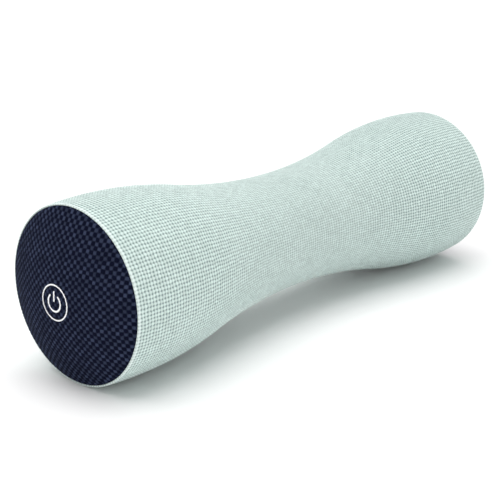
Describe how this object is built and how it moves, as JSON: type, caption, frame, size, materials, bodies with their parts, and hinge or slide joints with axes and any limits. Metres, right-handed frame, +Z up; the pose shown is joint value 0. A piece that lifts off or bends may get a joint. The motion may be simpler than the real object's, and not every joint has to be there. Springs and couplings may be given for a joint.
{
  "type": "shiatsu neck massager",
  "caption": "Cordless bow-tie massage roller with a padded fabric cover, domed fabric ends, a power button, and counter-rotating kneading heads on a worm drive inside.",
  "frame": {"origin": "middle of the roller, on its axis", "axes": "+X along the roller, from the power button's end to the charging end; +Z up, the way the kneading heads face and the power symbol's bar points"},
  "size_m": [0.3459, 0.1004, 0.1],
  "materials": {
    "mint_fabric": "matte",
    "navy_fabric": "matte",
    "grey_foam": "matte",
    "housing_plastic": "matte",
    "black_plastic": "satin",
    "gearbox_plastic": "matte",
    "gear_plastic": "satin",
    "node_plastic": "satin",
    "bracket_alloy": "satin",
    "zinc_steel": "satin",
    "shaft_steel": "polished",
    "bearing_bronze": "satin",
    "circuit_board": "satin",
    "cell_wrap": "satin",
    "nickel": "satin",
    "ferrite": "matte",
    "wire_insulation": "satin"
  },
  "bodies": {
    "casing": {"fabric_cover": "mint_fabric", "foam_sleeve": "grey_foam", "upper_housing": "housing_plastic", "lower_housing": "housing_plastic", "housing_screws": "zinc_steel", "mount_screws": "zinc_steel", "near_cap_frame": "black_plastic", "near_cap_fabric": "navy_fabric", "far_cap_frame": "black_plastic", "far_cap_fabric": "navy_fabric", "cap_screws": "zinc_steel", "tact_switch": "black_plastic", "control_board": "circuit_board", "board_components": "black_plastic", "board_screws": "zinc_steel", "port_bezel": "black_plastic", "charging_socket": "nickel", "socket_tongue": "black_plastic", "charging_board": "circuit_board", "battery_cells": "cell_wrap", "battery_holder": "gearbox_plastic", "battery_tabs": "nickel", "gearbox_base": "gearbox_plastic", "gearbox_cover": "gearbox_plastic", "gearbox_screws": "zinc_steel", "output_bushes": "bearing_bronze", "worm_bushes": "bearing_bronze", "motor_can": "zinc_steel", "motor_magnets": "ferrite", "motor_end_bell": "black_plastic", "motor_bracket": "bracket_alloy", "motor_screws": "zinc_steel", "motor_leads": "wire_insulation", "charging_leads": "wire_insulation", "battery_leads": "wire_insulation"},
    "power_button": {"power_button": "black_plastic", "button_fabric": "navy_fabric", "switch_plunger": "black_plastic"},
    "worm_drive": {"worm_shaft": "shaft_steel", "left_worm": "bearing_bronze", "right_worm": "bearing_bronze", "shaft_coupling": "black_plastic", "motor_armature": "shaft_steel"},
    "left_head": {"left_worm_wheel": "gear_plastic", "left_output_shaft": "shaft_steel", "left_carrier": "gearbox_plastic", "left_carrier_screw": "zinc_steel", "left_node_retainers": "zinc_steel"},
    "left_outer_node": {"left_outer_node": "node_plastic"},
    "left_inner_node": {"left_inner_node": "node_plastic"},
    "right_head": {"right_worm_wheel": "gear_plastic", "right_output_shaft": "shaft_steel", "right_carrier": "gearbox_plastic", "right_carrier_screw": "zinc_steel", "right_node_retainers": "zinc_steel"},
    "right_outer_node": {"right_outer_node": "node_plastic"},
    "right_inner_node": {"right_inner_node": "node_plastic"}
  },
  "joints": [
    {"name": "power_button_press", "type": "slide", "parent": "casing", "child": "power_button", "axis": [1, 0, 0], "range_m": [0, 0.0008], "stiffness_N_per_m": 1500, "springref_m": -0.0005},
    {"name": "worm_drive_spin", "type": "hinge", "parent": "casing", "child": "worm_drive", "pos_m": [0, -0.016, -0.001], "axis": [1, 0, 0], "continuous": true},
    {"name": "left_head_spin", "type": "hinge", "parent": "casing", "child": "left_head", "pos_m": [-0.026, 0, 0], "axis": [0, 0, 1], "continuous": true},
    {"name": "right_head_spin", "type": "hinge", "parent": "casing", "child": "right_head", "pos_m": [0.026, 0, 0], "axis": [0, 0, 1], "continuous": true},
    {"name": "left_outer_node_spin", "type": "hinge", "parent": "left_head", "child": "left_outer_node", "pos_m": [-0.039, 0, 0.0205], "axis": [0, 0, 1], "continuous": true},
    {"name": "left_inner_node_spin", "type": "hinge", "parent": "left_head", "child": "left_inner_node", "pos_m": [-0.013, 0, 0.0205], "axis": [0, 0, 1], "continuous": true},
    {"name": "right_outer_node_spin", "type": "hinge", "parent": "right_head", "child": "right_outer_node", "pos_m": [0.039, 0, 0.0205], "axis": [0, 0, 1], "continuous": true},
    {"name": "right_inner_node_spin", "type": "hinge", "parent": "right_head", "child": "right_inner_node", "pos_m": [0.013, 0, 0.0205], "axis": [0, 0, 1], "continuous": true}
  ],
  "couplings": [
    {"joint": "left_head_spin", "follows": "worm_drive_spin", "ratio": -0.041667},
    {"joint": "right_head_spin", "follows": "worm_drive_spin", "ratio": 0.041667}
  ]
}
